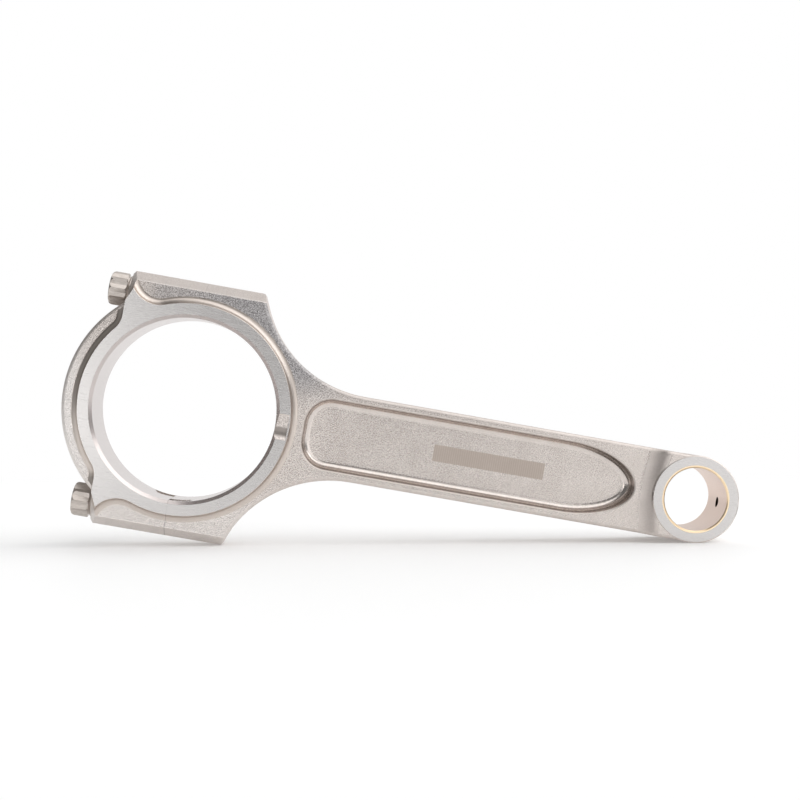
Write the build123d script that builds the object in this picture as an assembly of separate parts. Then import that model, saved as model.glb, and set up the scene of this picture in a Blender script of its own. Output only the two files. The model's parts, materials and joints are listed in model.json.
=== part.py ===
from build123d import *
import math
import os

# Forged H-beam connecting rod with its bolted big-end cap, millimetres.
#
# Every piece is first drawn in the rod's own axes: the origin is the centre of
# the crankpin bore at mid width, X runs along the rod to the piston-pin bore,
# Y runs along both bores and Z is square to both.  Each finished piece is then
# turned about Y by its stand angle, so that the rod stands on its edge on a level
# surface: on the corner of its lower bolt lug and on the rim of its small end.

# ---- overall sizes ---------------------------------------------------------
CENTRE_DISTANCE = 164.0
THRUST_HALF_WIDTH = 12.5
RECESS_HALF_WIDTH = 10.0

# ---- big end ---------------------------------------------------------------
CRANK_BORE_RADIUS = 28.8
CRANK_BORE_CHAMFER = 1.05
THRUST_RING_RADIUS = 33.45
CAP_BACK_RADIUS = 38.7
CAP_BACK_ROUNDING = 1.2
LUG_HALF_HEIGHT = 40.6
LUG_BEVEL_HEIGHT = 3.0
LUG_BEVEL_DEPTH = 6.0
LUG_CORNER_ROUNDING = 0.8
SEAT_X = -24.1
SEAT_CORNER_CHAMFER = 1.0

# The thrust face runs out over each bolt seat in an arm.  One arc scoops the
# lug side of the arm round the bolt, another leads the cap side to the seat.
SCALLOP_RADIUS = 9.0
SCALLOP_ANGLE = 110.0
ARM_ARC_RADIUS = 6.5
ARM_ARC_ANGLE = 140.0
ARM_LENGTH = 20.0
THRUST_FILLET = 2.3
THRUST_EDGE_BREAK = 0.15
THRUST_FOOT_MARGIN = 0.4

# Each corner of the lug at the bolt seat is trimmed by a slanted facet.
FACET_POINT = (-23.8, -11.0, 32.2)
FACET_NORMAL = (-0.846, -0.375, 0.379)
FACET_WIDTH = 30.0
FACET_DEPTH = 20.0

# ---- beam and small end ----------------------------------------------------
BEAM_HALF_HEIGHT = 13.75
SHOULDER_RADIUS = 38.4
SHOULDER_END_X = 55.0
BEAM_EDGE_ROUNDING = 1.2
POCKET_LEFT_X = 37.8
POCKET_HALF_HEIGHT = 11.1
POCKET_CORNER_RADIUS = 8.5
POCKET_NOSE_X = 122.0
POCKET_NOSE_LENGTH = 22.4
POCKET_FLOOR_FILLET = 2.6
WEB_HALF_THICKNESS = 2.75
POCKET_RIM_ROUNDING = 0.65
SMALL_END_RADIUS = 13.9
SMALL_END_CHAMFER = 0.35

# The beam widens to the block round the small end in a ramp.  Its foot is a
# wide arc in the side view, and its section is a hollow run into a crest.
BLOCK_HALF_WIDTH = 12.3
RAMP_FOOT_X = 146.0
RAMP_FOOT_RADIUS = 70.0
RAMP_HOLLOW_RADIUS = 8.0
RAMP_CREST_RADIUS = 4.0

# ---- bush ------------------------------------------------------------------
PIN_BORE_RADIUS = 10.0
BUSH_OUTER_RADIUS = 10.75
BUSH_CHAMFER = 0.35
OIL_HOLE_RADIUS = 1.6

# ---- bolts and dowel sleeves -----------------------------------------------
BOLT_OFFSET = 34.2
BOLT_RADIUS = 4.0
BOLT_WAIST_RADIUS = 3.5
BOLT_TIP_X = 15.0
THREAD_PITCH = 1.0
THREAD_DEPTH = 0.55
THREAD_TURNS = 14
THREAD_CLEARANCE = 0.05
TAPPED_HOLE_END_X = 17.0
THREAD_CREST = 0.2
THREAD_RELIEF = 0.8
BOLT_TIP_BEVEL = 0.6
WAIST_START_X = -20.0
WAIST_TAPER = 1.0
HEAD_POINT_RADIUS = 5.35
HEAD_LENGTH = 5.6
HEAD_CROWN_ROUNDING = 1.3
HEAD_FOOT_CHAMFER = 0.3
HEAD_DIMPLE_RADIUS = 1.6
HEAD_DIMPLE_FLAT_RADIUS = 0.3
HEAD_DIMPLE_DEPTH = 0.8
COLLAR_RADIUS = 4.9
COLLAR_LENGTH = 1.3
COLLAR_TOP_RADIUS = 4.6
COLLAR_SHOULDER_RADIUS = 4.4
COLLAR_SHOULDER_LENGTH = 0.4
COLLAR_RIM_LENGTH = 0.5
SPOTFACE_RADIUS = 6.0
CAP_HOLE_RADIUS = 4.25
SLEEVE_INNER_RADIUS = 4.2
SLEEVE_OUTER_RADIUS = 4.75
SLEEVE_HALF_LENGTH = 4.0
SLEEVE_END_CHAMFER = 0.2
SLEEVE_END_GAP = 0.3
SLEEVE_CAP_CLEARANCE = 0.03

# ---- bearing tang slots and oil notches ------------------------------------
TANG_CUTTER_RADIUS = 12.0
TANG_SLOT_DEPTH = 1.3
TANG_SLOT_NEAR = 4.5
TANG_SLOT_FAR = 10.5
NOTCH_TOP_Z = 4.0
NOTCH_LOW_Z = -2.68
NOTCH_BOTTOM_Z = -4.1
NOTCH_DEPTH = 1.42
NOTCH_LOW_ROUNDING = 3.6
NOTCH_END_X = 32.8

# A length that reaches past every face of the big end, how far a cutter stands
# out of the face that it cuts, and the tolerance for finding edges by place.
BEYOND = 60.0
CUTTER_OVERLAP = 2.0
NEAR = 0.01
SEAM_TURN = 50.0


def stand_angle():
    """Angle, in degrees, that the rod dips when it stands on its edge."""
    corner_x = lug_corner_x()
    reach = CENTRE_DISTANCE - corner_x
    to_small_end = math.atan2(LUG_HALF_HEIGHT, reach)
    distance = math.hypot(reach, LUG_HALF_HEIGHT)
    return math.degrees(to_small_end - math.asin(SMALL_END_RADIUS / distance))


def lug_corner_x():
    """Where the shoulder arc meets the flat side of the bolt lug."""
    drop = BEAM_HALF_HEIGHT + SHOULDER_RADIUS - LUG_HALF_HEIGHT
    return SHOULDER_END_X - math.sqrt(SHOULDER_RADIUS**2 - drop**2)


def side_prism(face, half_width):
    """Solid between -half_width and +half_width along the bores."""
    return extrude(Plane.XZ * face, amount=half_width, both=True)


def along_y(radius, y_low, y_high):
    """Cylinder round the Y axis of the current centre, from y_low to y_high.

    Its seam is turned down and away from the holes along X.
    """
    middle = (y_low + y_high) / 2
    cylinder = Cylinder(radius, y_high - y_low, rotation=(90, 0, 0))
    return Pos(0, middle, 0) * Rot(0, SEAM_TURN, 0) * cylinder


def along_x(radius, x_low, x_high):
    """Cylinder round the X axis of the current centre, from x_low to x_high."""
    middle = (x_low + x_high) / 2
    cylinder = Cylinder(radius, x_high - x_low, rotation=(0, 90, 0))
    return Pos(middle, 0, 0) * cylinder


def mirrored_in_width(solid):
    """The solid with its mirror image on the other face of the rod."""
    return [solid, mirror(solid, about=Plane.XZ)]


# ---- the forging, rod and cap together --------------------------------------
def side_outline():
    """Lugs, shoulders, beam and small end, seen along the bores."""
    corner_x = lug_corner_x()
    centre_z = BEAM_HALF_HEIGHT + SHOULDER_RADIUS
    start = math.atan2(LUG_HALF_HEIGHT - centre_z, corner_x - SHOULDER_END_X)
    middle = (start - math.pi / 2) / 2
    arc_x = SHOULDER_END_X + SHOULDER_RADIUS * math.cos(middle)
    arc_z = centre_z + SHOULDER_RADIUS * math.sin(middle)
    edges = [
        Line((SEAT_X, -LUG_HALF_HEIGHT), (SEAT_X, LUG_HALF_HEIGHT)),
        Line((SEAT_X, LUG_HALF_HEIGHT), (corner_x, LUG_HALF_HEIGHT)),
        ThreePointArc(
            (corner_x, LUG_HALF_HEIGHT),
            (arc_x, arc_z),
            (SHOULDER_END_X, BEAM_HALF_HEIGHT),
        ),
        Line((SHOULDER_END_X, BEAM_HALF_HEIGHT), (CENTRE_DISTANCE, BEAM_HALF_HEIGHT)),
        ThreePointArc(
            (CENTRE_DISTANCE, BEAM_HALF_HEIGHT),
            (CENTRE_DISTANCE + BEAM_HALF_HEIGHT, 0),
            (CENTRE_DISTANCE, -BEAM_HALF_HEIGHT),
        ),
        Line((CENTRE_DISTANCE, -BEAM_HALF_HEIGHT), (SHOULDER_END_X, -BEAM_HALF_HEIGHT)),
        ThreePointArc(
            (SHOULDER_END_X, -BEAM_HALF_HEIGHT),
            (arc_x, -arc_z),
            (corner_x, -LUG_HALF_HEIGHT),
        ),
        Line((corner_x, -LUG_HALF_HEIGHT), (SEAT_X, -LUG_HALF_HEIGHT)),
    ]
    face = make_face(edges)
    near_corner = [v for v in face.vertices() if abs(v.X - corner_x) < NEAR]
    face = fillet(near_corner, LUG_CORNER_ROUNDING)
    near_seat = [v for v in face.vertices() if abs(v.X - SEAT_X) < NEAR]
    return chamfer(near_seat, SEAT_CORNER_CHAMFER)


def width_solid():
    """Beam width, ramp and block width, as one solid turned about the ramp's axis."""
    low = RECESS_HALF_WIDTH
    high = BLOCK_HALF_WIDTH
    turn = math.acos(1 - (high - low) / (RAMP_HOLLOW_RADIUS + RAMP_CREST_RADIUS))
    hollow = along_arc(RAMP_HOLLOW_RADIUS, turn)
    half_hollow = along_arc(RAMP_HOLLOW_RADIUS, turn / 2)
    crest = along_arc(RAMP_CREST_RADIUS, turn)
    half_crest = along_arc(RAMP_CREST_RADIUS, turn / 2)
    join = (RAMP_FOOT_X + hollow[0], low + hollow[1])
    top = (join[0] + crest[0], high)
    axis_x = RAMP_FOOT_X + RAMP_FOOT_RADIUS
    edges = [
        Line((-BEYOND, 0), (-BEYOND, low)),
        Line((-BEYOND, low), (RAMP_FOOT_X, low)),
        ThreePointArc((RAMP_FOOT_X, low), (RAMP_FOOT_X + half_hollow[0], low + half_hollow[1]), join),
        ThreePointArc(join, (top[0] - half_crest[0], high - half_crest[1]), top),
        Line(top, (axis_x, high)),
        Line((axis_x, high), (axis_x, 0)),
        Line((axis_x, 0), (-BEYOND, 0)),
    ]
    half = make_face(edges)
    face = half + mirror(half, about=Plane.XZ)
    return revolve(face, axis=Axis((axis_x, 0, 0), (0, 1, 0)))


def along_arc(radius, turn):
    """Run and rise of an arc that starts level and turns by the given angle."""
    return (radius * math.sin(turn), radius * (1 - math.cos(turn)))


def slab():
    """The recessed body of the forging with its rounded edges and bevels."""
    body = side_prism(side_outline(), BLOCK_HALF_WIDTH + CUTTER_OVERLAP) & width_solid()
    outer = []
    for edge in body.edges():
        centre = edge.center()
        on_seat = abs(centre.X - SEAT_X) < SEAT_CORNER_CHAMFER
        if abs(centre.Y) > RECESS_HALF_WIDTH - NEAR and not on_seat:
            outer.append(edge)
    body = fillet(outer, BEAM_EDGE_ROUNDING)
    inner_z = LUG_HALF_HEIGHT - LUG_BEVEL_HEIGHT
    slope = LUG_BEVEL_DEPTH / LUG_BEVEL_HEIGHT
    far_y = RECESS_HALF_WIDTH + CUTTER_OVERLAP
    far_z = LUG_HALF_HEIGHT + CUTTER_OVERLAP
    wedge = Polyline(
        (far_y, inner_z - CUTTER_OVERLAP / slope),
        (far_y, far_z),
        (RECESS_HALF_WIDTH - LUG_BEVEL_DEPTH - CUTTER_OVERLAP * slope, far_z),
        close=True,
    )
    cutter = extrude(Plane.YZ * make_face(wedge), amount=BEYOND, both=True)
    for piece in mirrored_in_width(cutter):
        body -= piece
        body -= mirror(piece, about=Plane.XY)
    return body


def cap_back():
    """Round back of the cap, outside the bolt seats."""
    disc = along_y(CAP_BACK_RADIUS, -RECESS_HALF_WIDTH, RECESS_HALF_WIDTH)
    disc = fillet(disc.edges().filter_by(GeomType.CIRCLE), CAP_BACK_ROUNDING)
    keep = Pos(SEAT_X - BEYOND / 2 + CUTTER_OVERLAP, 0, 0) * Box(BEYOND, BEYOND, 2 * BEYOND)
    return disc & keep


def polar(radius, degrees):
    angle = math.radians(degrees)
    return (radius * math.cos(angle), radius * math.sin(angle))


def flip(point):
    return (point[0], -point[1])


def bottom_chain(solid, low_y, is_wall):
    """Edges of the solid at low_y whose centres satisfy is_wall."""
    chain = []
    for edge in solid.edges():
        centre = edge.position_at(0.5)
        level = abs(edge.position_at(0).Y - low_y) + abs(edge.position_at(1).Y - low_y)
        if level < NEAR and is_wall(centre):
            chain.append(edge)
    return chain


def recess_prism(face):
    """Cutter for a recess: it starts at the recess face and leaves the rod."""
    depth = THRUST_HALF_WIDTH - RECESS_HALF_WIDTH + CUTTER_OVERLAP
    return Pos(0, RECESS_HALF_WIDTH + depth, 0) * extrude(Plane.XZ * face, amount=depth)


def lug_recess():
    """Recess outside the thrust ring on the lugs and beam."""
    ring_top = polar(THRUST_RING_RADIUS, SCALLOP_ANGLE)
    centre = polar(THRUST_RING_RADIUS + SCALLOP_RADIUS, SCALLOP_ANGLE)
    tip = (centre[0] - SCALLOP_RADIUS, centre[1])
    mid_turn = math.radians((SCALLOP_ANGLE + 360) / 2)
    middle = (
        centre[0] + SCALLOP_RADIUS * math.cos(mid_turn),
        centre[1] + SCALLOP_RADIUS * math.sin(mid_turn),
    )
    far = SHOULDER_END_X
    edges = [
        ThreePointArc(tip, middle, ring_top),
        ThreePointArc(ring_top, (THRUST_RING_RADIUS, 0), flip(ring_top)),
        ThreePointArc(flip(ring_top), flip(middle), flip(tip)),
        Line(flip(tip), (tip[0], -BEYOND)),
        Line((tip[0], -BEYOND), (far, -BEYOND)),
        Line((far, -BEYOND), (far, BEYOND)),
        Line((far, BEYOND), (tip[0], BEYOND)),
        Line((tip[0], BEYOND), tip),
    ]
    cutter = recess_prism(make_face(edges))

    def is_wall(point):
        return point.X < far - NEAR and abs(point.Z) < BEYOND - NEAR

    return fillet(bottom_chain(cutter, RECESS_HALF_WIDTH, is_wall), THRUST_FILLET)


def back_recess():
    """Recess outside the thrust ring on the round back of the cap."""
    ring_top = polar(THRUST_RING_RADIUS, ARM_ARC_ANGLE)
    centre = polar(THRUST_RING_RADIUS + ARM_ARC_RADIUS, ARM_ARC_ANGLE)
    arm_foot = (centre[0] + ARM_ARC_RADIUS, centre[1])
    mid_turn = math.radians((ARM_ARC_ANGLE - 180) / 2)
    middle = (
        centre[0] + ARM_ARC_RADIUS * math.cos(mid_turn),
        centre[1] + ARM_ARC_RADIUS * math.sin(mid_turn),
    )
    edges = [
        Line((arm_foot[0], BEYOND), arm_foot),
        ThreePointArc(arm_foot, middle, ring_top),
        ThreePointArc(ring_top, (-THRUST_RING_RADIUS, 0), flip(ring_top)),
        ThreePointArc(flip(ring_top), flip(middle), flip(arm_foot)),
        Line(flip(arm_foot), (arm_foot[0], -BEYOND)),
        Line((arm_foot[0], -BEYOND), (-BEYOND, -BEYOND)),
        Line((-BEYOND, -BEYOND), (-BEYOND, BEYOND)),
        Line((-BEYOND, BEYOND), (arm_foot[0], BEYOND)),
    ]
    cutter = recess_prism(make_face(edges))

    def is_wall(point):
        return point.X > NEAR - BEYOND and abs(point.Z) < BEYOND - NEAR

    return fillet(bottom_chain(cutter, RECESS_HALF_WIDTH, is_wall), THRUST_FILLET)


def thrust_pads():
    """The thrust ring and its arms, with the fillets at their feet."""
    foot = THRUST_RING_RADIUS + THRUST_FILLET + THRUST_FOOT_MARGIN
    arm_height = LUG_HALF_HEIGHT - LUG_BEVEL_HEIGHT
    arm = Pos(SEAT_X + ARM_LENGTH / 2, 0) * Rectangle(ARM_LENGTH, 2 * arm_height)
    back = Circle(CAP_BACK_RADIUS - CAP_BACK_ROUNDING)
    behind = Pos(-BEYOND / 2, 0) * Rectangle(BEYOND, 2 * BEYOND)
    face = Circle(foot) + arm + (back & behind)
    pads = side_prism(face, THRUST_HALF_WIDTH)
    for recess in (lug_recess(), back_recess()):
        for piece in mirrored_in_width(recess):
            pads -= piece
    rim = []
    for edge in pads.edges():
        middle = edge.position_at(0.5)
        on_face = abs(middle.Y) > THRUST_HALF_WIDTH - NEAR
        on_side = abs(middle.X - SEAT_X) < NEAR or abs(middle.Z) > arm_height - NEAR
        if on_face and not on_side:
            rim.append(edge)
    return chamfer(rim, THRUST_EDGE_BREAK)


def pocket():
    """Cutter for the pocket in one face of the beam."""
    corner = POCKET_CORNER_RADIUS
    left = POCKET_LEFT_X
    top = POCKET_HALF_HEIGHT
    slant = corner * (1 - math.cos(math.pi / 4))
    edges = [
        Line((left + corner, top), (POCKET_NOSE_X, top)),
        EllipticalCenterArc(
            (POCKET_NOSE_X, 0), POCKET_NOSE_LENGTH, top, start_angle=-90, arc_size=180
        ),
        Line((POCKET_NOSE_X, -top), (left + corner, -top)),
        ThreePointArc(
            (left + corner, -top), (left + slant, slant - top), (left, corner - top)
        ),
        Line((left, corner - top), (left, top - corner)),
        ThreePointArc((left, top - corner), (left + slant, top - slant), (left + corner, top)),
    ]
    depth = RECESS_HALF_WIDTH - WEB_HALF_THICKNESS + CUTTER_OVERLAP
    cutter = extrude(Plane.XZ * make_face(edges), amount=depth)
    cutter = Pos(0, WEB_HALF_THICKNESS + depth, 0) * cutter
    floor = bottom_chain(cutter, WEB_HALF_THICKNESS, lambda point: True)
    return fillet(floor, POCKET_FLOOR_FILLET)


def pocket_rim(body):
    """Edges where the pockets open on the faces of the beam."""
    nose_tip = POCKET_NOSE_X + POCKET_NOSE_LENGTH
    rim = []
    for edge in body.edges():
        box = edge.bounding_box()
        at_face = abs(abs(edge.position_at(0.5).Y) - RECESS_HALF_WIDTH) < NEAR
        inside_x = box.min.X > POCKET_LEFT_X - NEAR and box.max.X < nose_tip + NEAR
        inside_z = max(-box.min.Z, box.max.Z) < POCKET_HALF_HEIGHT + NEAR
        if at_face and inside_x and inside_z:
            rim.append(edge)
    return rim


def seat_facets():
    """Cutters that trim the four lug corners at the bolt seats."""
    plane = Plane(origin=FACET_POINT, z_dir=FACET_NORMAL)
    block = plane * (Pos(0, 0, FACET_DEPTH / 2) * Box(FACET_WIDTH, FACET_WIDTH, FACET_DEPTH))
    block &= Pos(SEAT_X + BEYOND / 2, 0, 0) * Box(BEYOND, BEYOND, 2 * BEYOND)
    cutters = []
    for piece in mirrored_in_width(block):
        cutters += [piece, mirror(piece, about=Plane.XY)]
    return cutters


def crank_bore():
    """The crankpin bore with a chamfer at each end."""
    bore = along_y(CRANK_BORE_RADIUS, -BEYOND, BEYOND)
    edge_radius = CRANK_BORE_RADIUS + CRANK_BORE_CHAMFER
    height = edge_radius + CUTTER_OVERLAP
    cone = Cone(0, height, height, rotation=(-90, 0, 0))
    cone = Pos(0, THRUST_HALF_WIDTH - edge_radius + height / 2, 0) * cone
    for piece in mirrored_in_width(cone):
        bore += piece & along_y(height, -BEYOND, BEYOND)
    return bore


def oil_notch():
    """Shallow notch in the thrust face, open to the bore on its beam side."""
    outside_y = -THRUST_HALF_WIDTH - CUTTER_OVERLAP
    deepest_y = NOTCH_DEPTH - THRUST_HALF_WIDTH
    profile = Polyline(
        (outside_y, NOTCH_TOP_Z),
        (-THRUST_HALF_WIDTH, NOTCH_TOP_Z),
        (deepest_y, NOTCH_LOW_Z),
        (-THRUST_HALF_WIDTH, NOTCH_BOTTOM_Z),
        (outside_y, NOTCH_BOTTOM_Z),
        close=True,
    )
    channel = extrude(Plane.YZ * make_face(profile), amount=NOTCH_END_X)
    low_edges = []
    for edge in channel.edges():
        centre = edge.center()
        if abs(centre.Y - deepest_y) < NEAR and abs(centre.Z - NOTCH_LOW_Z) < NEAR:
            low_edges.append(edge)
    return fillet(low_edges, NOTCH_LOW_ROUNDING)


def forging():
    """Rod and cap as one machined shape, before the halves are parted."""
    body = slab()
    for piece in mirrored_in_width(pocket()):
        body -= piece
    body = fillet(pocket_rim(body), POCKET_RIM_ROUNDING)
    body += cap_back() + thrust_pads()
    end_ring = along_y(SMALL_END_RADIUS, -THRUST_HALF_WIDTH, THRUST_HALF_WIDTH)
    end_ring = chamfer(end_ring.edges().filter_by(GeomType.CIRCLE), SMALL_END_CHAMFER)
    body += Pos(CENTRE_DISTANCE, 0, 0) * end_ring
    for piece in seat_facets():
        body -= piece
    for piece in mirrored_in_width(oil_notch()):
        body -= piece
    return body - crank_bore()


def at_bolts(solid):
    """The solid at the upper and the lower bolt axis."""
    return [Pos(0, 0, BOLT_OFFSET) * solid, Pos(0, 0, -BOLT_OFFSET) * solid]


def tang_slot(y_low, y_high):
    """Cutter for a bearing tang slot at the lower side of the parting line."""
    centre_z = TANG_CUTTER_RADIUS - CRANK_BORE_RADIUS - TANG_SLOT_DEPTH
    return Pos(0, 0, centre_z) * along_y(TANG_CUTTER_RADIUS, y_low, y_high)


def rod_body(whole):
    """The rod half: lugs, beam and small end."""
    keep = Pos(BEYOND * 2, 0, 0) * Box(BEYOND * 4, BEYOND, BEYOND * 2)
    body = whole & keep
    hole_radius = BOLT_RADIUS + THREAD_CLEARANCE
    point_length = hole_radius / 2
    tapped = along_x(hole_radius, -CUTTER_OVERLAP, TAPPED_HOLE_END_X)
    point = Cone(0, hole_radius, point_length, rotation=(0, -90, 0))
    tapped += Pos(TAPPED_HOLE_END_X + point_length / 2, 0, 0) * point
    tapped += along_x(SLEEVE_OUTER_RADIUS, -CUTTER_OVERLAP, SLEEVE_HALF_LENGTH + SLEEVE_END_GAP)
    for piece in at_bolts(tapped):
        body -= piece
    body -= tang_slot(-TANG_SLOT_FAR, -TANG_SLOT_NEAR)
    body -= Pos(CENTRE_DISTANCE, 0, 0) * along_y(BUSH_OUTER_RADIUS, -BEYOND, BEYOND)
    return body - oil_hole()


def big_end_cap(whole):
    """The cap half, held by the two bolts."""
    keep = Pos(-BEYOND, 0, 0) * Box(BEYOND * 2, BEYOND, BEYOND * 2)
    body = whole & keep
    recess = SLEEVE_HALF_LENGTH + SLEEVE_END_GAP
    hole = along_x(CAP_HOLE_RADIUS, -BEYOND, CUTTER_OVERLAP)
    hole += along_x(SLEEVE_OUTER_RADIUS + SLEEVE_CAP_CLEARANCE, -recess, CUTTER_OVERLAP)
    hole += along_x(SPOTFACE_RADIUS, -BEYOND, SEAT_X)
    for piece in at_bolts(hole):
        body -= piece
    return body - tang_slot(TANG_SLOT_NEAR, TANG_SLOT_FAR)


def oil_hole():
    """Oil hole through the end of the eye to the piston pin."""
    return Pos(CENTRE_DISTANCE, 0, 0) * along_x(OIL_HOLE_RADIUS, 0, SMALL_END_RADIUS + CUTTER_OVERLAP)


# ---- small pieces ----------------------------------------------------------
def small_end_bush():
    """Bronze bush with a chamfer at each end of its bore and its oil hole."""
    bush = along_y(BUSH_OUTER_RADIUS, -THRUST_HALF_WIDTH, THRUST_HALF_WIDTH)
    bush -= along_y(PIN_BORE_RADIUS, -BEYOND, BEYOND)
    inner = []
    for edge in bush.edges().filter_by(GeomType.CIRCLE):
        if abs(edge.radius - PIN_BORE_RADIUS) < NEAR:
            inner.append(edge)
    bush = chamfer(inner, BUSH_CHAMFER)
    return Pos(CENTRE_DISTANCE, 0, 0) * bush - oil_hole()


def bolt_profile():
    """Half section of the bolt below its twelve-point head."""
    root = BOLT_RADIUS - THREAD_DEPTH
    collar_x = SEAT_X - COLLAR_LENGTH
    thread_start = BOLT_TIP_X - THREAD_TURNS * THREAD_PITCH - THREAD_RELIEF
    points = [
        (collar_x, 0),
        (collar_x, COLLAR_TOP_RADIUS),
        (collar_x + COLLAR_SHOULDER_LENGTH, COLLAR_SHOULDER_RADIUS),
        (SEAT_X - COLLAR_RIM_LENGTH, COLLAR_RADIUS),
        (SEAT_X, COLLAR_RADIUS),
        (SEAT_X, BOLT_RADIUS),
        (WAIST_START_X, BOLT_RADIUS),
        (WAIST_START_X + WAIST_TAPER, BOLT_WAIST_RADIUS),
        (-SLEEVE_HALF_LENGTH - WAIST_TAPER, BOLT_WAIST_RADIUS),
        (-SLEEVE_HALF_LENGTH, BOLT_RADIUS),
        (-WAIST_TAPER, BOLT_RADIUS),
        (0, root),
        (thread_start, root),
    ]
    for turn in range(THREAD_TURNS):
        crest_x = thread_start + (turn + 0.5) * THREAD_PITCH
        points += [
            (crest_x - THREAD_CREST / 2, BOLT_RADIUS),
            (crest_x + THREAD_CREST / 2, BOLT_RADIUS),
            (crest_x + THREAD_PITCH / 2, root),
        ]
    points += [(BOLT_TIP_X, root - BOLT_TIP_BEVEL), (BOLT_TIP_X, 0)]
    return make_face(Polyline(*points, close=True))


def cap_bolt():
    """Cap bolt: twelve-point head, collar, fitted shank, waist and thread."""
    stem = revolve(Plane.XY * bolt_profile(), axis=Axis.X)
    top_x = SEAT_X - COLLAR_LENGTH - HEAD_LENGTH
    hexagon = RegularPolygon(HEAD_POINT_RADIUS, 6)
    star = hexagon + Rot(0, 0, 30) * hexagon
    head = extrude(Plane(origin=(top_x, 0, 0), z_dir=(1, 0, 0)) * star, amount=HEAD_LENGTH)
    crown = along_x(HEAD_POINT_RADIUS + NEAR, top_x, top_x + HEAD_LENGTH)
    top_rim = crown.edges().filter_by(GeomType.CIRCLE).sort_by(Axis.X)[0]
    crown = fillet(top_rim, HEAD_CROWN_ROUNDING)
    foot_rim = crown.edges().filter_by(GeomType.CIRCLE).sort_by(Axis.X)[-1]
    crown = chamfer(foot_rim, HEAD_FOOT_CHAMFER)
    cone = Cone(
        HEAD_DIMPLE_FLAT_RADIUS,
        HEAD_DIMPLE_RADIUS,
        HEAD_DIMPLE_DEPTH,
        align=(Align.CENTER, Align.CENTER, Align.MAX),
        rotation=(0, -90, 0),
    )
    return stem + (head & crown) - Pos(top_x, 0, 0) * cone


def dowel_sleeve():
    """Hollow dowel that lines the cap up with the rod."""
    sleeve = along_x(SLEEVE_OUTER_RADIUS, -SLEEVE_HALF_LENGTH, SLEEVE_HALF_LENGTH)
    ends = sleeve.edges().filter_by(GeomType.CIRCLE)
    sleeve = chamfer(ends, SLEEVE_END_CHAMFER)
    return sleeve - along_x(SLEEVE_INNER_RADIUS, -BEYOND, BEYOND)


def make_parts():
    """Every piece by node name, in the rod's own axes."""
    whole = forging()
    bolts = at_bolts(cap_bolt())
    sleeves = at_bolts(dowel_sleeve())
    return {
        "rod_body": rod_body(whole),
        "big_end_cap": big_end_cap(whole),
        "small_end_bush": small_end_bush(),
        "cap_bolt_upper": bolts[0],
        "cap_bolt_lower": bolts[1],
        "dowel_sleeve_upper": sleeves[0],
        "dowel_sleeve_lower": sleeves[1],
    }


os.makedirs("parts", exist_ok=True)
for name, shape in make_parts().items():
    standing = Rot(0, stand_angle(), 0) * shape
    standing.label = name
    export_step(standing, f"parts/{name}.step")
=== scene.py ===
import json
import math

import bpy
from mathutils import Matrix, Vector


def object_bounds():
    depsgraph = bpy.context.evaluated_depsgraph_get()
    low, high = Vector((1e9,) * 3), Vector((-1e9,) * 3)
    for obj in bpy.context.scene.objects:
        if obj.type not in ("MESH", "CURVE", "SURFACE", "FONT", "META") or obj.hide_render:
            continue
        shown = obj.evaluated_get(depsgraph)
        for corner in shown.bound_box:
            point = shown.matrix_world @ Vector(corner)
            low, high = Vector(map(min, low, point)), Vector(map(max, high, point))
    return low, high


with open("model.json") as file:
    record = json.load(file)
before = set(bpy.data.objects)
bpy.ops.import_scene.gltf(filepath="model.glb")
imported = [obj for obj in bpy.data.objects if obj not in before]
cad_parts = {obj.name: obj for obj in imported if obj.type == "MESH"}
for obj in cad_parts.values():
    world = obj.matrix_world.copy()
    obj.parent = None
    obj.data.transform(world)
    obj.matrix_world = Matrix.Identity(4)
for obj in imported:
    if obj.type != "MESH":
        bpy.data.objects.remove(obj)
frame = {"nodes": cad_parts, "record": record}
cad_low, cad_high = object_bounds()

# ---- the rod's own axes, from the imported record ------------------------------
# Patterns are drawn in millimetres along the rod: X from the big end to the small
# end, Y along the bores, Z square to both.
MOUNTS = {mount["name"]: mount for mount in frame["record"]["mounts"]}
BIG_END = Vector(MOUNTS["crankpin_bore"]["pos_m"])
SMALL_END = Vector(MOUNTS["piston_pin_bore"]["pos_m"])
SMALL_END_X = (SMALL_END - BIG_END).length * 1000
DIP = math.atan2(BIG_END.z - SMALL_END.z, SMALL_END.x - BIG_END.x)
BORE_RADIUS = MOUNTS["crankpin_bore"]["dims"]["r_mm"]
THRUST_HALF_WIDTH = abs(MOUNTS["big_end_thrust_front"]["pos_m"][1]) * 1000
THRUST_RING_HEIGHT = 2.5
RECESS_HALF_WIDTH = THRUST_HALF_WIDTH - THRUST_RING_HEIGHT
WEB_HALF_THICKNESS = 2.75
BORE_CHAMFER_WIDTH = 1.15
BORE_CHAMFER_END = BORE_RADIUS + BORE_CHAMFER_WIDTH
BEVEL_START = 37.6
POCKET_ENDS = (36.0, 145.0)
POCKET_HALF_HEIGHT = 11.5
MARK_ENDS = (80.0, 116.0)
MARK_HALF_HEIGHT = 2.6
HATCH_PITCH = 0.35
NOTCH_ENDS = (-4.2, 3.9)
NOTCH_DEPTH = 1.2
NOTCH_FLOOR = THRUST_HALF_WIDTH - NOTCH_DEPTH
OIL_HOLE_RADIUS = 1.6

# ---- view ---------------------------------------------------------------------
CAMERA_PLACE = (0.047459, -0.493989, 0.004398)
CAMERA_TURN = (89.794, 0.286, -2.395)
LENS = 68.956
CLIP_START = 0.01

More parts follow.
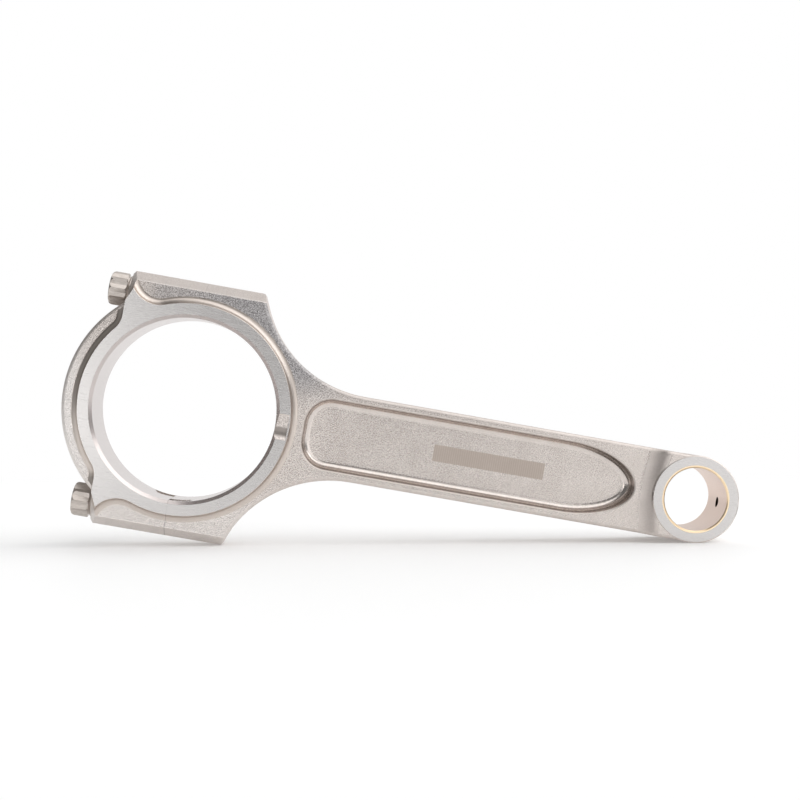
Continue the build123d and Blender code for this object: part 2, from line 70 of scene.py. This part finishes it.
# ---- colours ------------------------------------------------------------------
PEENED_STEEL = (0.60, 0.545, 0.51)
PEENED_LIGHT = (0.64, 0.585, 0.55)
PEENED_PIT = (0.42, 0.375, 0.35)
PEENED_PEAK = (0.74, 0.685, 0.65)
# Painted shade of the upper lug and shoulder: its face, pit and peak colours.
SHOULDER_PAINTED_SHADE = (0.35, 0.335, 0.335)
SHOULDER_SHADE_PIT = (0.22, 0.21, 0.21)
SHOULDER_SHADE_PEAK = (0.50, 0.48, 0.48)
# Painted light on the cap rim and lower lug, and a painted highlight along the bevel edges.
RIM_PAINTED_LIGHT = (0.90, 0.87, 0.85)
EDGE_PAINTED_HIGHLIGHT = (0.85, 0.80, 0.76)
# Painted shade across the oil notch.
NOTCH_SHADE = (0.30, 0.27, 0.25)
FILLET_STEEL = (0.56, 0.495, 0.445)
# Painted shade at the foot of the thrust ring's fillet.
FILLET_FOOT_PAINTED_SHADE = (0.27, 0.235, 0.21)
ETCHED_STEEL = (0.42, 0.35, 0.30)
GROUND_STEEL = (0.60, 0.58, 0.57)
GROUND_STREAK = (0.59, 0.57, 0.56)
SEAM_DARK = (0.16, 0.14, 0.13)
BORED_STEEL = (0.60, 0.55, 0.535)
BOLT_STEEL = (0.46, 0.415, 0.38)
BOLT_RIDGE = (0.58, 0.53, 0.49)
SLEEVE_STEEL = (0.50, 0.48, 0.46)
SLEEVE_RING = (0.60, 0.58, 0.56)
BRONZE_FACE = (0.95, 0.76, 0.52)
# Painted shade: the bush's bore colours are darker than its faces'.
BRONZE_BORE_PAINTED_SHADE = (0.64, 0.50, 0.42)
BRONZE_HONED_PAINTED_SHADE = (0.66, 0.52, 0.45)
# Painted shade inside the oil hole.
OIL_HOLE_PAINTED_SHADE = (0.10, 0.08, 0.065)
PAPER_WHITE = (0.86, 0.86, 0.86)

# ---- finishes -------------------------------------------------------------------
# Roughness, from and to where it varies, and depth of the relief in millimetres.
ROUGHNESS = {
    "grain": (0.18, 0.34),
    "smooth": 0.2,
    "fillet": 0.3,
    "bevel": 0.48,
    "mark": 0.5,
    "ground": (0.2, 0.32),
    "bore": 0.26,
    "notch": 0.36,
    "bolt": (0.24, 0.36),
    "sleeve": 0.25,
    "bush_bore": (0.28, 0.42),
    "bush_face": 0.3,
}
RELIEF = {
    "smooth": 0.015,
    "lug": 0.10,
    "beam": 0.04,
    "ground": 0.005,
    "hone": 0.008,
    "turned": 0.01,
}

# ---- light and floor --------------------------------------------------------------
# The surroundings as panels: azimuth from and to (0 is straight out in front of the
# rod, 90 is its right), elevation from and to, soft edge, all in degrees, and
# brightness.  Brightness 1 shows as white.  Each panel covers those before it.
ROOM_BRIGHTNESS = 0.4
PANELS = {
    "back_wall": (105, 255, -90, 40, 20, 1.0),
    "high_back_wall": (105, 255, 40, 90, 12, 0.95),
    "front_floor": (-150, 90, -90, -1, 1.5, 0.8),
    "right_floor": (9, 60, -90, -3, 4, 1.05),
    "left_wall": (-135, -58, -7, 90, 8, 0.25),
    "left_corner": (-62, -20, -3.4, 90, 1.2, 0.18),
    "left_panel": (-19, -9.5, -5, 8, 2.5, 2.8),
    "right_panel": (10, 48, -5, 26, 4, 1.45),
    "overhead_panel": (-16, 70, 40, 90, 12, 1.65),
    "key_panel": (55, 120, 22, 70, 8, 2.2),
    "camera_gap": (-8, 9, 1.5, 24, 2, 0.1),
}
# A panel that ends past 180 degrees goes on from -180, with room for its soft edge.
WRAP_MARGIN = 30
# The floor in metres: its edge in front of the rod, its reach to the other sides and
# where it turns white.  It glows a little, and more in reflections than to the eye.
FLOOR_FRONT = 0.36
FLOOR_SPREAD = 15.0
FLOOR_FADE = (0.14, 0.40)
FLOOR_GLOW = 0.15
FLOOR_GLEAM = 0.26


class Graph:
    """A node tree and short calls that add nodes to it."""

    def __init__(self, tree):
        self.tree = tree

    def add(self, kind, **settings):
        node = self.tree.nodes.new(kind)
        for name, value in settings.items():
            setattr(node, name, value)
        return node

    def put(self, socket, value):
        if isinstance(value, bpy.types.NodeSocket):
            self.tree.links.new(value, socket)
        else:
            socket.default_value = value

    def split(self, vector):
        node = self.add("ShaderNodeSeparateXYZ")
        self.put(node.inputs[0], vector)
        return node.outputs

    def math(self, operation, *values, clamp=False):
        node = self.add("ShaderNodeMath", operation=operation, use_clamp=clamp)
        for socket, value in zip(node.inputs, values):
            self.put(socket, value)
        return node.outputs[0]

    def step(self, value, low, high):
        """0 below low and 1 above high, with a smooth turn between them."""
        node = self.add("ShaderNodeMapRange", interpolation_type="SMOOTHSTEP")
        self.put(node.inputs["Value"], value)
        self.put(node.inputs["From Min"], low)
        self.put(node.inputs["From Max"], high)
        return node.outputs["Result"]

    def band(self, value, low, high, soft):
        """1 between low and high, falling to 0 within soft outside them."""
        rise = self.step(value, low - soft, low)
        fall = self.step(value, high, high + soft)
        return self.math("SUBTRACT", rise, fall)

    def wrapped(self, turn, end):
        """The turn in degrees, carried past 180 for a panel that ends beyond it."""
        if end <= 180:
            return turn
        below = self.math("LESS_THAN", turn, end - 360 + WRAP_MARGIN)
        return self.math("ADD", turn, self.times(below, 360.0))

    def less(self, value):
        """What value lacks to 1."""
        return self.math("SUBTRACT", 1.0, value)

    def either(self, first, second):
        """Two masks together."""
        return self.math("ADD", first, second, clamp=True)

    def times(self, *values):
        result = values[0]
        for value in values[1:]:
            result = self.math("MULTIPLY", result, value)
        return result

    def blend(self, factor, low, high):
        """A number that goes from low to high with factor."""
        node = self.add("ShaderNodeMix", data_type="FLOAT")
        self.put(node.inputs[0], factor)
        self.put(node.inputs[2], low)
        self.put(node.inputs[3], high)
        return node.outputs[0]

    def paint(self, factor, low, high):
        """A colour that goes from low to high with factor."""
        node = self.add("ShaderNodeMix", data_type="RGBA")
        self.put(node.inputs[0], factor)
        for socket, colour in ((node.inputs[6], low), (node.inputs[7], high)):
            if isinstance(colour, tuple):
                colour = (*colour, 1)
            self.put(socket, colour)
        return node.outputs[2]

    def noise(self, vector, scale, detail=2.0, roughness=0.5):
        node = self.add("ShaderNodeTexNoise")
        self.put(node.inputs["Vector"], vector)
        self.put(node.inputs["Scale"], scale)
        self.put(node.inputs["Detail"], detail)
        self.put(node.inputs["Roughness"], roughness)
        return node.outputs["Fac"]

    def stretched(self, vector, stretch):
        node = self.add("ShaderNodeMapping")
        self.put(node.inputs["Vector"], vector)
        node.inputs["Scale"].default_value = stretch
        return node.outputs["Vector"]

    def bump(self, height, depth_mm):
        node = self.add("ShaderNodeBump")
        node.inputs["Strength"].default_value = 1.0
        self.put(node.inputs["Distance"], depth_mm / 1000)
        self.put(node.inputs["Height"], height)
        return node.outputs["Normal"]


class Finish(Graph):
    """A metal's material, with the point and normal in the rod's own axes."""

    def __init__(self, name):
        self.material = bpy.data.materials.new(name)
        self.material.use_nodes = True
        super().__init__(self.material.node_tree)
        self.shader = self.tree.nodes["Principled BSDF"]
        self.place = self.add("ShaderNodeTexCoord")
        turned = self.add("ShaderNodeMapping")
        self.put(turned.inputs["Vector"], self.place.outputs["Object"])
        turned.inputs["Rotation"].default_value = (0, -DIP, 0)
        turned.inputs["Scale"].default_value = (1000, 1000, 1000)
        self.point = turned.outputs["Vector"]
        self.x, self.y, self.z = self.split(self.point)
        normal = self.add("ShaderNodeMapping")
        self.put(normal.inputs["Vector"], self.place.outputs["Normal"])
        normal.inputs["Rotation"].default_value = (0, -DIP, 0)
        self.nx, self.ny, self.nz = self.split(normal.outputs["Vector"])

    def radius(self, centre_x):
        """Distance from a bore's axis that stands at centre_x."""
        shifted = self.math("SUBTRACT", self.x, centre_x)
        squares = self.math("ADD", self.times(shifted, shifted), self.times(self.z, self.z))
        return self.math("SQRT", squares)

    def in_oil_hole(self):
        """1 on the wall of the small end's oil hole, which lies along the rod's axis."""
        squares = self.math("ADD", self.times(self.y, self.y), self.times(self.z, self.z))
        distance = self.math("SQRT", squares)
        inside = self.step(distance, OIL_HOLE_RADIUS + 0.08, OIL_HOLE_RADIUS + 0.02)
        return self.times(inside, self.step(self.x, SMALL_END_X, SMALL_END_X + 1.0))

    def mix_normals(self, factor, low, high):
        node = self.add("ShaderNodeMix", data_type="VECTOR")
        self.put(node.inputs[0], factor)
        self.put(node.inputs[4], low)
        self.put(node.inputs[5], high)
        return node.outputs[1]

    def finish(self, colour, roughness, normal):
        self.put(self.shader.inputs["Base Color"], colour)
        self.put(self.shader.inputs["Roughness"], roughness)
        self.shader.inputs["Metallic"].default_value = 1.0
        self.put(self.shader.inputs["Normal"], normal)
        return self.material


# ---- materials ------------------------------------------------------------------
class Forging(Finish):
    """The forged steel of rod and cap: where each finish and each patch of painted light or shade
    lies, as masks from 0 to 1.
    """

    def __init__(self):
        super().__init__("forged_steel")
        self.side = self.math("ABSOLUTE", self.y)
        self.level = self.math("ABSOLUTE", self.z)
        self.facing = self.math("ABSOLUTE", self.ny)
        self.flat = self.step(self.facing, 0.98, 0.997)
        self.beam = self.step(self.x, 38.0, 56.0)
        near_face = self.step(self.side, THRUST_HALF_WIDTH - 0.12, THRUST_HALF_WIDTH - 0.06)
        self.ground = self.times(near_face, self.flat)
        outside = self.step(self.radius(0.0), BORE_CHAMFER_END, BORE_CHAMFER_END + 0.15)
        self.bored = self.times(self.less(outside), self.less(self.step(self.facing, 0.92, 0.98)))
        self.notch = self.times(
            self.step(self.x, 26.0, 28.0),
            self.band(self.z, *NOTCH_ENDS, 0.05),
            self.step(self.side, THRUST_HALF_WIDTH - 0.04, THRUST_HALF_WIDTH - 0.1),
            self.step(self.side, NOTCH_FLOOR, NOTCH_FLOOR + 0.1),
        )
        inside = self.step(self.level, POCKET_HALF_HEIGHT + 0.2, POCKET_HALF_HEIGHT)
        self.pocket = self.times(self.band(self.x, *POCKET_ENDS, 0.5), inside)
        wall = self.band(self.side, WEB_HALF_THICKNESS + 0.03, RECESS_HALF_WIDTH - 0.3, 0.02)
        self.pocket_wall = self.times(self.pocket, wall)
        above = self.step(self.side, RECESS_HALF_WIDTH + 0.003, RECESS_HALF_WIDTH + 0.03)
        self.ring_foot = self.times(above, self.step(self.x, 110.0, 100.0))
        self.dull = self.less(self.either(self.pocket_wall, self.times(self.ring_foot, 0.6)))
        # Where painted shade darkens the upper lug and shoulder; this mask also sets the grain's
        # strength there.
        self.shoulder = self.times(
            self.step(self.x, -20.0, -12.0),
            self.step(self.z, 6.0, 18.0),
            self.step(self.x, 54.0, 34.0),
            self.step(self.facing, 0.2, 0.5),
            self.step(self.z, BEVEL_START, BEVEL_START - 0.2),
            self.dull,
        )
        self.mark = self.times(
            self.band(self.x, *MARK_ENDS, 0.15),
            self.band(self.z, -MARK_HALF_HEIGHT, MARK_HALF_HEIGHT, 0.15),
            self.pocket,
            self.flat,
            self.step(self.y, 0.0, -1.0),
        )

        pressed = self.stretched(self.point, (1.0, 0.5, 1.0))
        coarse = self.noise(pressed, 2.75, roughness=0.65)
        fine = self.noise(pressed, 3.35, roughness=0.65)
        self.grain = self.blend(self.beam, coarse, fine)
        self.brushed = self.noise(self.stretched(self.point, (0.10, 1.0, 4.0)), 1.5, detail=4.0)

    def peened(self):
        """Colours of the shot-peened faces and of their pits, with painted shade darkening the
        upper lug and shoulder.
        """
        speckle = self.step(self.grain, 0.38, 0.62)
        mottle = self.noise(self.point, 0.16)
        # Painted shade over the shoulder, deepening from the cap towards the beam.
        deepening = self.blend(self.step(self.x, -12.0, 14.0), 0.6, 1.0)
        shade = self.times(self.shoulder, deepening)
        pits = self.paint(speckle, PEENED_PIT, PEENED_PEAK)
        pits = self.paint(shade, pits, self.paint(speckle, SHOULDER_SHADE_PIT, SHOULDER_SHADE_PEAK))
        even = self.paint(self.step(mottle, 0.3, 0.7), PEENED_STEEL, PEENED_LIGHT)
        even = self.paint(shade, even, SHOULDER_PAINTED_SHADE)
        strength = self.blend(self.beam, self.blend(self.shoulder, 0.4, 0.8), 0.2)
        return self.paint(self.blend(self.dull, 0.2, strength), even, pits), pits

    def painted_light(self, colour):
        """Painted light: a lighter cap rim and lower lug, and a painted highlight along the bevel
        edges.
        """
        # Painted light: the cap rim and the lower lug coloured lighter.
        rim = self.times(self.step(self.x, -16.0, -34.0), self.step(self.z, 22.0, 2.0), self.dull)
        lug = self.times(self.step(self.z, -18.0, -32.0), self.step(self.x, 42.0, 24.0), self.dull)
        bright = self.math("MAXIMUM", self.times(rim, 0.55), self.times(lug, 0.3))
        colour = self.paint(bright, colour, RIM_PAINTED_LIGHT)
        # Painted highlight along the bevel's edge.
        edge = self.times(
            self.band(self.level, BEVEL_START - 0.1, BEVEL_START + 0.1, 0.15),
            self.step(self.side, RECESS_HALF_WIDTH - 0.5, RECESS_HALF_WIDTH - 0.3),
            self.step(self.x, 40.0, 39.0),
        )
        return self.paint(self.times(edge, 0.6), colour, EDGE_PAINTED_HIGHLIGHT)

    def marked(self, colour):
        """A plain hatched bar etched on the front pocket's floor."""
        hatch = self.step(self.math("PINGPONG", self.x, HATCH_PITCH), 0.05, 0.2)
        return self.paint(self.times(self.mark, self.blend(hatch, 0.5, 0.8)), colour, ETCHED_STEEL)

    def filleted(self, colour):
        """The thrust ring's fillet, with painted shade darkening its foot along the upper side."""
        colour = self.paint(self.times(self.ring_foot, 0.7), colour, FILLET_STEEL)
        # Painted shade in the crease at the fillet's foot, on the upper side only.
        foot = self.step(self.side, RECESS_HALF_WIDTH + 0.25, RECESS_HALF_WIDTH + 0.05)
        foot = self.times(self.ring_foot, foot, self.step(self.z, 5.0, 20.0))
        return self.paint(self.times(foot, 0.8), colour, FILLET_FOOT_PAINTED_SHADE)

    def machined(self, colour, pits):
        """Ground faces, bore and parting line over the peened colour, with painted shade in the
        oil hole and a band of painted shade across the oil notch.
        """
        streaks = self.paint(self.step(self.brushed, 0.3, 0.7), GROUND_STREAK, GROUND_STEEL)
        colour = self.paint(self.ground, colour, streaks)
        colour = self.paint(self.bored, colour, BORED_STEEL)
        seam = self.less(self.step(self.math("ABSOLUTE", self.x), 0.02, 0.14))
        faint = self.blend(self.step(self.z, 0.0, 20.0), 0.6, 0.25)
        seam = self.times(seam, faint, self.blend(self.ground, 1.0, 0.25))
        colour = self.paint(seam, colour, SEAM_DARK)
        # Painted shade: the oil hole's wall near black.
        colour = self.paint(self.in_oil_hole(), colour, OIL_HOLE_PAINTED_SHADE)
        # Painted shade: a dark band across the oil notch, over its pit colour.
        shaded = self.paint(self.band(self.z, -2.5, -0.6, 0.9), pits, NOTCH_SHADE)
        return self.paint(self.notch, colour, shaded)

    def roughness(self):
        curved = self.less(self.flat)
        grainy = self.blend(self.grain, *ROUGHNESS["grain"])
        ground = self.blend(self.brushed, *ROUGHNESS["ground"])
        bevels = self.times(self.less(self.either(self.pocket_wall, self.ring_foot)), curved)
        rough = self.blend(self.dull, ROUGHNESS["smooth"], grainy)
        rough = self.blend(self.times(self.ring_foot, curved), rough, ROUGHNESS["fillet"])
        rough = self.blend(bevels, rough, ROUGHNESS["bevel"])
        rough = self.blend(self.mark, rough, ROUGHNESS["mark"])
        rough = self.blend(self.ground, rough, ground)
        rough = self.blend(self.bored, rough, ROUGHNESS["bore"])
        return self.blend(self.notch, rough, ROUGHNESS["notch"])

    def relief(self):
        """Normals of the peened grain, the grinding lines and the honed bore."""
        depth = self.blend(self.beam, RELIEF["lug"], RELIEF["beam"])
        depth = self.blend(self.dull, RELIEF["smooth"], depth)
        peening = self.bump(self.times(self.grain, depth), 1.0)
        lines = self.bump(self.brushed, RELIEF["ground"])
        hone = self.noise(self.stretched(self.point, (0.25, 5.0, 0.25)), 1.4, detail=3.0)
        normal = self.mix_normals(self.ground, peening, lines)
        return self.mix_normals(self.bored, normal, self.bump(hone, RELIEF["hone"]))


def forged_steel():
    """Shot-peened forging with ground thrust faces, smooth fillets and a bored big end."""
    g = Forging()
    colour, pits = g.peened()
    colour = g.filleted(g.marked(g.painted_light(colour)))
    return g.finish(g.machined(colour, pits), g.roughness(), g.relief())


def bolt_steel():
    """Grey-brown alloy bolt with fine turning marks."""
    g = Finish("bolt_steel")
    streak = g.noise(g.stretched(g.point, (0.3, 2.0, 2.0)), 2.0, detail=4.0)
    colour = g.paint(g.step(streak, 0.3, 0.7), BOLT_STEEL, BOLT_RIDGE)
    rough = g.blend(streak, *ROUGHNESS["bolt"])
    return g.finish(colour, rough, g.bump(streak, RELIEF["turned"]))


def sleeve_steel():
    """Ground steel of the dowel sleeves."""
    g = Finish("sleeve_steel")
    rings = g.noise(g.stretched(g.point, (6.0, 0.3, 0.3)), 1.0, detail=3.0)
    colour = g.paint(rings, SLEEVE_STEEL, SLEEVE_RING)
    return g.finish(colour, ROUGHNESS["sleeve"], g.bump(rings, RELIEF["turned"]))


def bush_bronze():
    """Bronze bush: turned end faces and a honed bore, the bore coloured darker as painted shade.
    """
    g = Finish("bush_bronze")
    hone = g.noise(g.stretched(g.point, (0.3, 4.0, 0.3)), 1.5, detail=3.0)
    face = g.step(g.math("ABSOLUTE", g.ny), 0.3, 0.6)
    # Painted shade: the honed bore is coloured darker than the faces.
    bore = g.paint(hone, BRONZE_BORE_PAINTED_SHADE, BRONZE_HONED_PAINTED_SHADE)
    # Painted shade: the oil hole's wall near black.
    colour = g.paint(g.in_oil_hole(), g.paint(face, bore, BRONZE_FACE), OIL_HOLE_PAINTED_SHADE)
    rough = g.blend(face, g.blend(hone, *ROUGHNESS["bush_bore"]), ROUGHNESS["bush_face"])
    return g.finish(colour, rough, g.bump(hone, RELIEF["turned"]))


def dress(material, *names):
    for name in names:
        node = frame["nodes"][name]
        for slot in node.material_slots:
            slot.link = "OBJECT"
            slot.material = material


dress(forged_steel(), "rod_body", "big_end_cap")
dress(bolt_steel(), "cap_bolt_upper", "cap_bolt_lower")
dress(sleeve_steel(), "dowel_sleeve_upper", "dowel_sleeve_lower")
dress(bush_bronze(), "small_end_bush")


# ---- studio -----------------------------------------------------------------------
def floor():
    """Pale floor that ends in front of the rod, and turns to even white away from it."""
    material = bpy.data.materials.new("floor_white")
    material.use_nodes = True
    g = Graph(material.node_tree)
    shader = g.tree.nodes["Principled BSDF"]
    shader.inputs["Base Color"].default_value = (*PAPER_WHITE, 1)
    shader.inputs["Roughness"].default_value = 0.6
    shader.inputs["Emission Color"].default_value = (1, 1, 1, 1)
    seen = g.add("ShaderNodeLightPath").outputs["Is Camera Ray"]
    g.put(shader.inputs["Emission Strength"], g.blend(seen, FLOOR_GLEAM, FLOOR_GLOW))
    x, y, z = g.split(g.add("ShaderNodeTexCoord").outputs["Object"])
    past_end = g.math("SUBTRACT", g.math("ABSOLUTE", x), (cad_high.x - cad_low.x) / 2)
    past_end = g.math("MAXIMUM", past_end, 0.0)
    away = g.math("SQRT", g.math("ADD", g.times(past_end, past_end), g.times(y, y)))
    glow = g.add("ShaderNodeEmission")
    mix = g.add("ShaderNodeMixShader")
    g.put(mix.inputs[0], g.step(away, *FLOOR_FADE))
    g.put(mix.inputs[1], shader.outputs[0])
    g.put(mix.inputs[2], glow.outputs[0])
    g.put(g.tree.nodes["Material Output"].inputs["Surface"], mix.outputs[0])

    corners = [
        (-FLOOR_SPREAD, -FLOOR_FRONT, 0),
        (FLOOR_SPREAD, -FLOOR_FRONT, 0),
        (FLOOR_SPREAD, FLOOR_SPREAD, 0),
        (-FLOOR_SPREAD, FLOOR_SPREAD, 0),
    ]
    mesh = bpy.data.meshes.new("floor")
    mesh.from_pydata(corners, [], [(0, 1, 2, 3)])
    mesh.materials.append(material)
    panel = bpy.data.objects.new("floor", mesh)
    panel.location = ((cad_low.x + cad_high.x) / 2, 0, cad_low.z)
    bpy.context.scene.collection.objects.link(panel)


def studio_world():
    """Light from the panels all round, in front of a plain white that the camera sees."""
    world = bpy.data.worlds.new("studio")
    world.use_nodes = True
    g = Graph(world.node_tree)
    x, y, z = g.split(g.add("ShaderNodeTexCoord").outputs["Generated"])
    degrees = math.degrees(1)
    turn = g.math("MULTIPLY", g.math("ARCTAN2", x, g.math("MULTIPLY", y, -1.0)), degrees)
    height = g.math("MULTIPLY", g.math("ARCSINE", z), degrees)
    light = ROOM_BRIGHTNESS
    for start, end, low, high, soft, brightness in PANELS.values():
        across = g.band(g.wrapped(turn, end), start, end, soft)
        light = g.blend(g.times(across, g.band(height, low, high, soft)), light, brightness)
    seen = g.add("ShaderNodeLightPath").outputs["Is Camera Ray"]
    background = world.node_tree.nodes["Background"]
    background.inputs["Color"].default_value = (1, 1, 1, 1)
    g.put(background.inputs["Strength"], g.blend(seen, light, 1.0))
    bpy.context.scene.world = world


floor()
studio_world()
bpy.context.scene.view_settings.view_transform = "Standard"

camera_data = bpy.data.cameras.new("camera")
camera_data.lens = LENS
camera = bpy.data.objects.new("camera", camera_data)
camera.location = CAMERA_PLACE
camera.rotation_euler = [math.radians(angle) for angle in CAMERA_TURN]
camera_data.clip_start = CLIP_START
bpy.context.scene.collection.objects.link(camera)
bpy.context.scene.camera = camera
